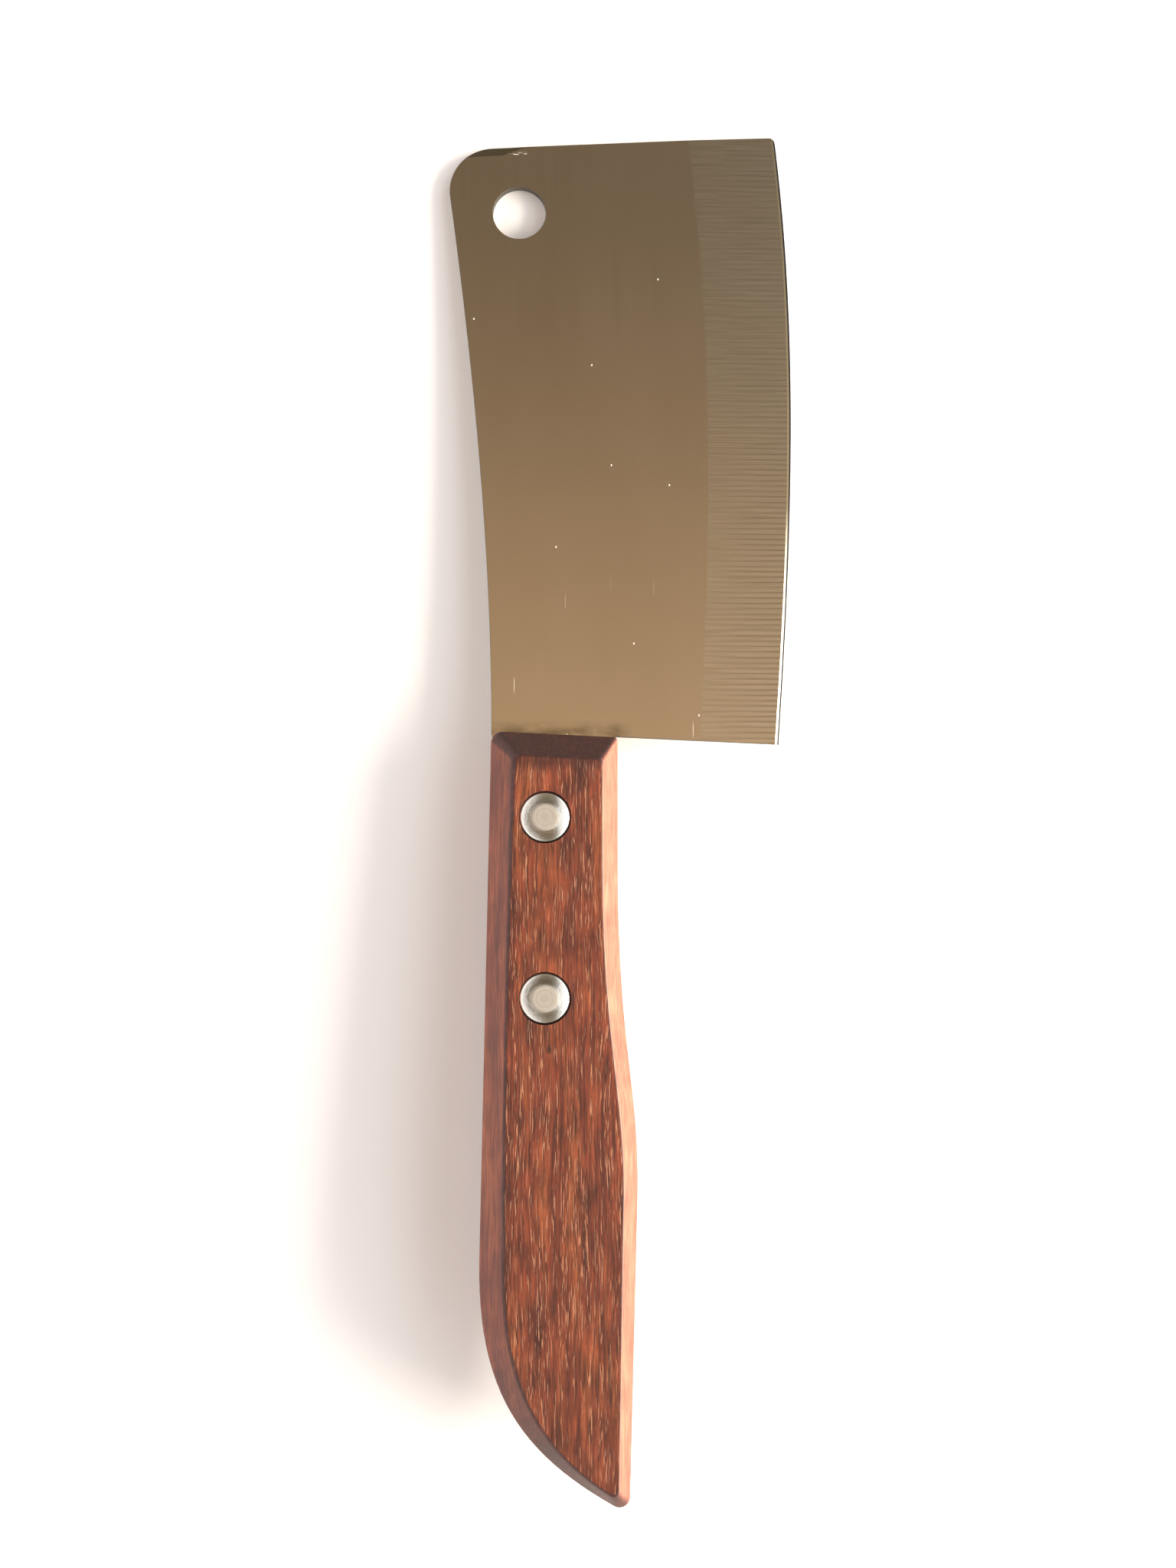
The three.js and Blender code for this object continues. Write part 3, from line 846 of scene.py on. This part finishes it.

# Oiled hardwood: straight grain in red-brown bands with fine fibres, and open pores that the
# planer cut into the wood, each drawn as a painted highlight on its lit wall beside painted shade on
# its other wall. The flats get painted shade that deepens towards the butt, the arrises are darker
# and the cut ends darkest, and the chamfers are painted paler as lit, above all along the belly.
WOOD = "#642C18"
WOOD_DARK = "#42190E"
WOOD_ORANGE = "#783E20"
WOOD_LIT_CHAMFER = "#A3614A"
# The pore colour is a painted highlight on each pore's lit wall. The groove colour is the knot's own
# dark and also painted shade on each pore's other wall.
WOOD_PORE_HIGHLIGHT = "#A66C4A"
WOOD_KNOT_AND_PORE_SHADE = "#2C1009"
WOOD_ARRIS = "#35160F"
WOOD_END = "#2A0F09"
SWAY = 2.4
PORE_GAP = 0.15
BUTT_SHADE_FROM = -70
SOAKED_REACH = 6.2
SOAKED_RAGGED = 1.6
KNOT_PLACE = (9.76, -51.31)
KNOT_SIZE = (0.45, 0.7)
oiled_wood, tree, shader, place = new_material("oiled_red_hardwood")
sway = add_node(tree, "ShaderNodeTexNoise", {
    "Vector": along_piece(tree, place, width=8, length=40), "Scale": 1, "Detail": 2,
})
sway_step = add_node(tree, "ShaderNodeVectorMath", {
    0: sway.outputs["Color"], 1: (SWAY * MM, 0, SWAY * MM),
}, operation="MULTIPLY")
grain = add_node(tree, "ShaderNodeVectorMath", {0: place, 1: sway_step})
beside_grain = add_node(tree, "ShaderNodeVectorMath", {0: grain, 1: (-PORE_GAP * MM, 0, 0)})
from_corner = add_node(tree, "ShaderNodeVectorMath", {0: place, 1: at(0, 0)}, operation="SUBTRACT")
front_distance = add_node(tree, "ShaderNodeSeparateXYZ", {0: from_corner}).outputs["Y"]

# Its faces, told apart by how level they are: the flats, the chamfers and the arrises between them
normal = add_node(tree, "ShaderNodeNewGeometry").outputs["Normal"]
facing = add_node(tree, "ShaderNodeSeparateXYZ", {0: normal})
levelness = add_node(tree, "ShaderNodeMath", {0: facing.outputs["Z"]}, operation="ABSOLUTE")
on_flat = add_node(tree, "ShaderNodeMapRange", {
    "Value": levelness, "From Min": 0.8, "From Max": 0.97,
})
off_flat = add_node(tree, "ShaderNodeMapRange", {
    "Value": levelness, "From Min": 0.97, "From Max": 0.8,
})
off_upright = add_node(tree, "ShaderNodeMapRange", {
    "Value": levelness, "From Min": 0.2, "From Max": 0.4,
})
on_chamfer = add_node(tree, "ShaderNodeMath", {0: off_flat, 1: off_upright}, operation="MULTIPLY")
past_chamfer = add_node(tree, "ShaderNodeMapRange", {
    "Value": levelness, "From Min": 0.77, "From Max": 0.86,
})
before_flat = add_node(tree, "ShaderNodeMapRange", {
    "Value": levelness, "From Min": 0.995, "From Max": 0.965,
})
on_arris = add_node(tree, "ShaderNodeMath", {0: past_chamfer, 1: before_flat}, operation="MULTIPLY")

# Bands and fibres, with painted shade towards the butt and painted light on the chamfers
bands = add_node(tree, "ShaderNodeValToRGB", {
    0: streaks(tree, grain, width=2.2, length=26, detail=3),
})
bands.color_ramp.elements[0].position = 0.3
bands.color_ramp.elements[0].color = colour(WOOD_DARK)
bands.color_ramp.elements[1].position = 0.72
bands.color_ramp.elements[1].color = colour(WOOD_ORANGE)
bands.color_ramp.elements.new(0.5).color = colour(WOOD)
fibres = add_node(tree, "ShaderNodeMath", {
    0: streaks(tree, grain, width=3.5, length=5, detail=4, low=0.3, high=0.7, start=0.62, end=1.38),
    1: streaks(tree, grain, width=0.32, length=6, detail=3, low=0.3, high=0.7, start=0.38, end=1.56),
}, operation="MULTIPLY")
# Painted shade: the colour darkens towards the butt.
to_butt = add_node(tree, "ShaderNodeMapRange", {
    "Value": front_distance, "From Min": BUTT_SHADE_FROM * MM, "From Max": NOSE.y * MM,
    "To Min": 1, "To Max": 0.84,
})
fibres_and_butt_shade = add_node(tree, "ShaderNodeMath", {0: fibres, 1: to_butt}, operation="MULTIPLY")
# Painted light: the chamfers are lifted brighter all round, and paled most where they face the light
# along the belly.
chamfer_light_share = add_node(tree, "ShaderNodeMath", {0: on_chamfer, 1: 0.3}, operation="MULTIPLY")
depth = add_node(tree, "ShaderNodeMix", {0: chamfer_light_share, 2: fibres_and_butt_shade, 3: 1.55})
belly_side = add_node(tree, "ShaderNodeMapRange", {
    "Value": facing.outputs["X"], "From Min": 0.3, "From Max": 0.6, "To Min": 0.18, "To Max": 0.8,
})
chamfer_light = add_node(tree, "ShaderNodeMath", {0: on_chamfer, 1: belly_side}, operation="MULTIPLY")
chamfer_lit = add_node(tree, "ShaderNodeMix", {
    0: chamfer_light, 6: bands, 7: colour(WOOD_LIT_CHAMFER),
}, data_type="RGBA")
fibred = add_node(tree, "ShaderNodeVectorMath", {0: chamfer_lit, "Scale": depth}, operation="SCALE")

# Pores in rows, each a painted highlight beside a strip of painted shade, and most of them on the flats
openness = add_node(tree, "ShaderNodeMapRange", {"Value": on_flat, "To Min": 0.25, "To Max": 1})
rows = add_node(tree, "ShaderNodeMath", {
    0: streaks(tree, grain, width=0.5, length=22, detail=2, low=0.4, high=0.6), 1: openness,
}, operation="MULTIPLY")
pore_shade = add_node(tree, "ShaderNodeMath", {
    0: streaks(tree, beside_grain, width=0.18, length=3, detail=2, low=0.55, high=0.66), 1: rows,
}, operation="MULTIPLY")
pores = add_node(tree, "ShaderNodeMath", {
    0: streaks(tree, grain, width=0.18, length=3, detail=2, low=0.55, high=0.66), 1: rows,
}, operation="MULTIPLY")
pore_shaded = add_node(tree, "ShaderNodeMix", {
    0: pore_shade, 6: fibred, 7: colour(WOOD_KNOT_AND_PORE_SHADE),
}, data_type="RGBA")
pored = add_node(tree, "ShaderNodeMix", {
    0: pores, 6: pore_shaded, 7: colour(WOOD_PORE_HIGHLIGHT),
}, data_type="RGBA")

# Darker arrises, a small knot, and dark cut ends beside a front that is soaked a little way in
arris_darkening = add_node(tree, "ShaderNodeMath", {
    0: on_arris,
    1: streaks(tree, grain, width=0.5, length=1.2, detail=2, low=0.3, high=0.6, start=0.5, end=0.9),
}, operation="MULTIPLY")
arris_darkened = add_node(tree, "ShaderNodeMix", {
    0: arris_darkening, 6: pored, 7: colour(WOOD_ARRIS),
}, data_type="RGBA")
from_knot = add_node(tree, "ShaderNodeVectorMath", {
    0: place, 1: at(*KNOT_PLACE, HANDLE_THICKNESS / 2),
}, operation="SUBTRACT")
knot_distance = add_node(tree, "ShaderNodeVectorMath", {
    0: along_piece(tree, from_knot, *KNOT_SIZE),
}, operation="LENGTH")
knot = add_node(tree, "ShaderNodeMapRange", {
    "Value": knot_distance, "From Min": 1.3, "From Max": 0.5, "To Max": 0.8,
})
knotted = add_node(tree, "ShaderNodeMix", {
    0: knot, 6: arris_darkened, 7: colour(WOOD_KNOT_AND_PORE_SHADE),
}, data_type="RGBA")
front_end = add_node(tree, "ShaderNodeMapRange", {
    "Value": facing.outputs["Y"], "From Min": 0.3, "From Max": 0.5,
})
butt_end = add_node(tree, "ShaderNodeMapRange", {
    "Value": facing.outputs["Y"], "From Min": -0.1, "From Max": -0.5, "To Max": 0.75,
})
ends = add_node(tree, "ShaderNodeMath", {0: front_end, 1: butt_end}, operation="MAXIMUM")
end_grain = add_node(tree, "ShaderNodeMath", {
    0: ends,
    1: streaks(tree, place, width=0.5, length=0.5, detail=3, low=0.35, high=0.6, start=0.88),
}, operation="MULTIPLY")
ragged_front = add_node(tree, "ShaderNodeMath", {
    0: streaks(tree, grain, width=0.5, length=3, detail=3, low=0.3, high=0.7),
    1: SOAKED_RAGGED * MM, 2: front_distance,
}, operation="MULTIPLY_ADD")
soaked = add_node(tree, "ShaderNodeMapRange", {
    "Value": ragged_front,
    "From Min": -SOAKED_REACH * MM, "From Max": (SOAKED_RAGGED - SOAKED_REACH) * MM, "To Max": 0.6,
})
soaked_flat = add_node(tree, "ShaderNodeMath", {0: soaked, 1: on_flat}, operation="MULTIPLY")
darkened = add_node(tree, "ShaderNodeMath", {0: end_grain, 1: soaked_flat}, operation="MAXIMUM")
ended = add_node(tree, "ShaderNodeMix", {
    0: darkened, 6: knotted, 7: colour(WOOD_END),
}, data_type="RGBA")

relief = add_node(tree, "ShaderNodeBump", {
    "Height": pores, "Strength": 0.4, "Distance": 0.05 * MM,
}, invert=True)
gloss = streaks(tree, grain, width=0.4, length=9, detail=3, start=0.42, end=0.56)
set_inputs(shader, {
    "Base Color": ended, "Roughness": gloss, "Normal": relief, "Specular IOR Level": 0.5,
})
handle.data.materials.append(oiled_wood)
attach(handle, "root")
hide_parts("handle")

# Rivets: two cutlers' rivets of turned aluminium, each a headed pin pressed into a headed tube
# from the other side. The heads are coned, with a flat disc in the middle.
HEAD_RADIUS = 4.1
HEAD_FACE = 8.35
HEAD_RIM = 7.6
HEAD_SEAT = 5.8
DISC_RADIUS = 2.0
SHOULDER_START = Vector((0.6, -0.15))
SHOULDER_END = Vector((-0.2, -0.5))
PIN_RADIUS = 1.5
TUBE_RADIUS = 2.5
BORE_RADIUS = 1.65
SHANK_END = -5.4
SHANK_BREAK = 0.3
REAR_TURN = math.radians(70)

disc_edge = Vector((DISC_RADIUS, HEAD_FACE))
head_corner = Vector((HEAD_RADIUS, HEAD_FACE))
head_knots = [
    (None, Vector((0, HEAD_FACE)), None),
    (None, disc_edge, disc_edge + SHOULDER_START),
    (head_corner + SHOULDER_END, Vector((HEAD_RADIUS, HEAD_RIM)), None),
    (None, Vector((HEAD_RADIUS, HEAD_SEAT)), None),
]
pin_shank = [
    Vector((PIN_RADIUS, HEAD_SEAT)),
    Vector((PIN_RADIUS, SHANK_END + SHANK_BREAK)),
    Vector((PIN_RADIUS - SHANK_BREAK, SHANK_END)),
    Vector((0, SHANK_END)),
]
tube_shank = [
    Vector((TUBE_RADIUS, HEAD_SEAT)),
    Vector((TUBE_RADIUS, SHANK_END)),
    Vector((BORE_RADIUS, SHANK_END)),
    Vector((BORE_RADIUS, HEAD_SEAT)),
    Vector((0, HEAD_SEAT)),
]


def turn_rivet(name, shank):
    """Half a rivet, turned about the front rivet's axis with its head up."""
    axis = RIVET_PLACES[0]
    knots = head_knots + [(None, point, None) for point in shank]
    half = draw_line(knots, lambda point: at(axis.x + point.x, axis.y, point.y), steps=8)
    half.name = name
    bpy.ops.object.mode_set(mode="EDIT")
    bpy.ops.mesh.select_all(action="SELECT")
    bpy.ops.mesh.spin(steps=72, angle=2 * math.pi, center=at(*axis), axis=(0, 0, 1))
    bpy.ops.mesh.select_all(action="SELECT")
    bpy.ops.mesh.remove_doubles(threshold=WELD)
    bpy.ops.mesh.normals_make_consistent(inside=False)
    bpy.ops.object.mode_set(mode="OBJECT")
    return half


# Turned aluminium: matt on the disc, where the lathe left fine rings, and bright on the shoulder,
# with small dents from use. The rings follow both rivets, so they repeat at the rivets' spacing.
ALUMINIUM = "#DEDBD2"
ALUMINIUM_DULL = "#ADA99E"
RING_SPACING = 0.3
DENT_SIZE = 0.7
DISC_BLEND = 0.4
rivet_spacing = RIVET_PLACES[0].y - RIVET_PLACES[1].y
turned_metal, tree, shader, place = new_material("turned_aluminium")
from_axis = add_node(tree, "ShaderNodeVectorMath", {
    0: place, 1: at(*RIVET_PLACES[0]),
}, operation="SUBTRACT")
axes = add_node(tree, "ShaderNodeSeparateXYZ", {0: from_axis})
repeated = add_node(tree, "ShaderNodeMath", {
    0: axes.outputs["Y"], 1: rivet_spacing / 2 * MM, 2: -rivet_spacing / 2 * MM,
}, operation="WRAP")
across = add_node(tree, "ShaderNodeCombineXYZ", {"X": axes.outputs["X"], "Y": repeated})
radius = add_node(tree, "ShaderNodeVectorMath", {0: across}, operation="LENGTH")
rings = add_node(tree, "ShaderNodeTexNoise", {
    "W": radius, "Scale": 1 / (RING_SPACING * MM), "Detail": 2,
}, noise_dimensions="1D")
dents = add_node(tree, "ShaderNodeTexNoise", {
    "Vector": place, "Scale": 1 / (DENT_SIZE * MM), "Detail": 2,
})
tone = add_node(tree, "ShaderNodeMix", {
    0: rings, 6: colour(ALUMINIUM), 7: colour(ALUMINIUM_DULL),
}, data_type="RGBA")
polish = add_node(tree, "ShaderNodeMapRange", {
    "Value": radius, "From Min": DISC_RADIUS * MM, "From Max": (DISC_RADIUS + DISC_BLEND) * MM,
    "To Min": 0.5, "To Max": 0.22,
})
ring_relief = add_node(tree, "ShaderNodeBump", {
    "Height": rings, "Strength": 0.25, "Distance": 0.06 * MM,
})
relief = add_node(tree, "ShaderNodeBump", {
    "Height": dents, "Strength": 0.2, "Distance": 0.1 * MM, "Normal": ring_relief,
})
set_inputs(shader, {"Base Color": tone, "Metallic": 1, "Roughness": polish, "Normal": relief})

front_pin = turn_rivet("front_rivet_pin_half", pin_shank)
front_tube = turn_rivet("front_rivet_tube_half", tube_shank)
bpy.ops.object.mode_set(mode="EDIT")
bpy.ops.mesh.select_all(action="SELECT")
bpy.ops.transform.resize(value=(1, 1, -1), center_override=corner)
bpy.ops.mesh.normals_make_consistent(inside=False)
bpy.ops.object.mode_set(mode="OBJECT")


def copy_rear(half, name):
    """The rear rivet's half: the front one's, moved back and turned a little on its axis."""
    bpy.ops.object.select_all(action="DESELECT")
    half.select_set(True)
    bpy.context.view_layer.objects.active = half
    bpy.ops.object.duplicate()
    rear = bpy.context.object
    rear.name = name
    bpy.ops.object.mode_set(mode="EDIT")
    bpy.ops.mesh.select_all(action="SELECT")
    bpy.ops.transform.rotate(value=REAR_TURN, orient_axis="Z", center_override=at(*RIVET_PLACES[0]))
    bpy.ops.transform.translate(value=(0, -rivet_spacing * MM, 0))
    bpy.ops.object.mode_set(mode="OBJECT")
    return rear


for half in (front_pin, front_tube):
    finish_shading(half, angle=30)
    half.data.materials.append(turned_metal)
rear_pin = copy_rear(front_pin, "rear_rivet_pin_half")
rear_tube = copy_rear(front_tube, "rear_rivet_tube_half")
rivet_nodes = {
    front_pin: "front_rivet_pin",
    front_tube: "front_rivet_tube",
    rear_pin: "rear_rivet_pin",
    rear_tube: "rear_rivet_tube",
}
for half, node in rivet_nodes.items():
    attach(half, "root")
    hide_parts(node)
